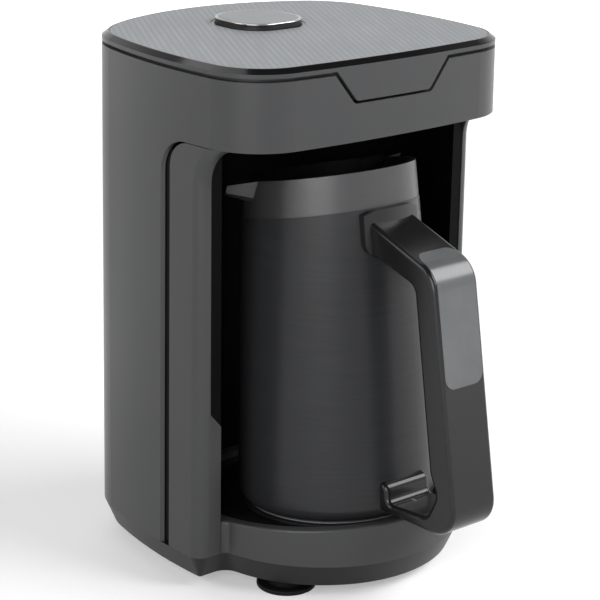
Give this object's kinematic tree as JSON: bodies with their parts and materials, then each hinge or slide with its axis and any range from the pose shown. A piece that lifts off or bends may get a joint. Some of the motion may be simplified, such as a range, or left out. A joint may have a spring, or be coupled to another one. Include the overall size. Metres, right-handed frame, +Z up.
{
  "type": "one-pot coffee maker",
  "caption": "Electric one-pot Turkish coffee maker with a round heated platform, a push button on the lid and a lift-out steel pot with a side handle and twin spouts.",
  "frame": {"origin": "centre of the bounding box's bottom face: on the table plane, on the vertical axis of the round platform", "axes": "+X to the user's right, +Y towards the machine's rear, +Z up; the pot's handle points to -Y"},
  "size_m": [0.1632, 0.2056, 0.244],
  "materials": {
    "shell_grey": "satin",
    "lid_silver": "satin, fine lines",
    "trim_dark": "gloss",
    "black_gloss": "gloss",
    "black_matt": "matt",
    "sleeve_dark": "satin",
    "steel": "brushed",
    "inset_grey": "satin",
    "button_silver": "satin, fine lines",
    "bright_ring": "polished",
    "plate_alu": "coated",
    "silicone": "matt",
    "foot_rubber": "matt",
    "steel_zinc": "zinc plated",
    "board_green": "satin",
    "parts_dark": "satin",
    "lens_dark": "gloss"
  },
  "bodies": {
    "machine": {"outer_shell": "shell_grey", "left_column": "shell_grey", "right_column": "shell_grey", "platform_ring": "shell_grey", "base_tray": "black_matt", "cavity_liner": "black_gloss", "head_underside": "black_matt", "lid_frame": "shell_grey", "lid_trim": "trim_dark", "lid_plate": "lid_silver", "button_guide": "black_gloss", "button_spring": "steel_zinc", "tact_switch": "parts_dark", "control_board": "board_green", "board_components": "parts_dark", "board_screws": "steel_zinc", "froth_sensor": "parts_dark", "sensor_window": "lens_dark", "power_board": "board_green", "power_board_parts": "parts_dark", "platform_dish": "black_gloss", "heating_plate": "plate_alu", "plate_seal": "silicone", "heating_element": "steel_zinc", "heat_shield": "steel_zinc", "thermostat": "parts_dark", "thermal_fuse": "steel_zinc", "temperature_sensor": "steel_zinc", "cord_gland": "silicone", "rubber_feet": "foot_rubber", "base_screws": "steel_zinc"},
    "button": {"power_button": "button_silver", "button_ring": "bright_ring"},
    "pot": {"pot_liner": "steel", "pot_sleeve": "sleeve_dark", "pot_base_disc": "steel", "handle_body": "black_gloss", "handle_inset": "inset_grey", "handle_collar": "black_gloss", "handle_studs": "steel_zinc"}
  },
  "joints": [
    {"name": "button_press", "type": "slide", "parent": "machine", "child": "button", "axis": [0, 0, -1], "range_m": [0, 0.0015], "stiffness_N_per_m": 300, "springref_m": -0.001, "deforming": ["button_spring"]},
    {"name": "pot_removal", "type": "slide", "parent": "machine", "child": "pot", "axis": [0, -0.9483, 0.3173], "range_m": [0, 0.12]}
  ]
}
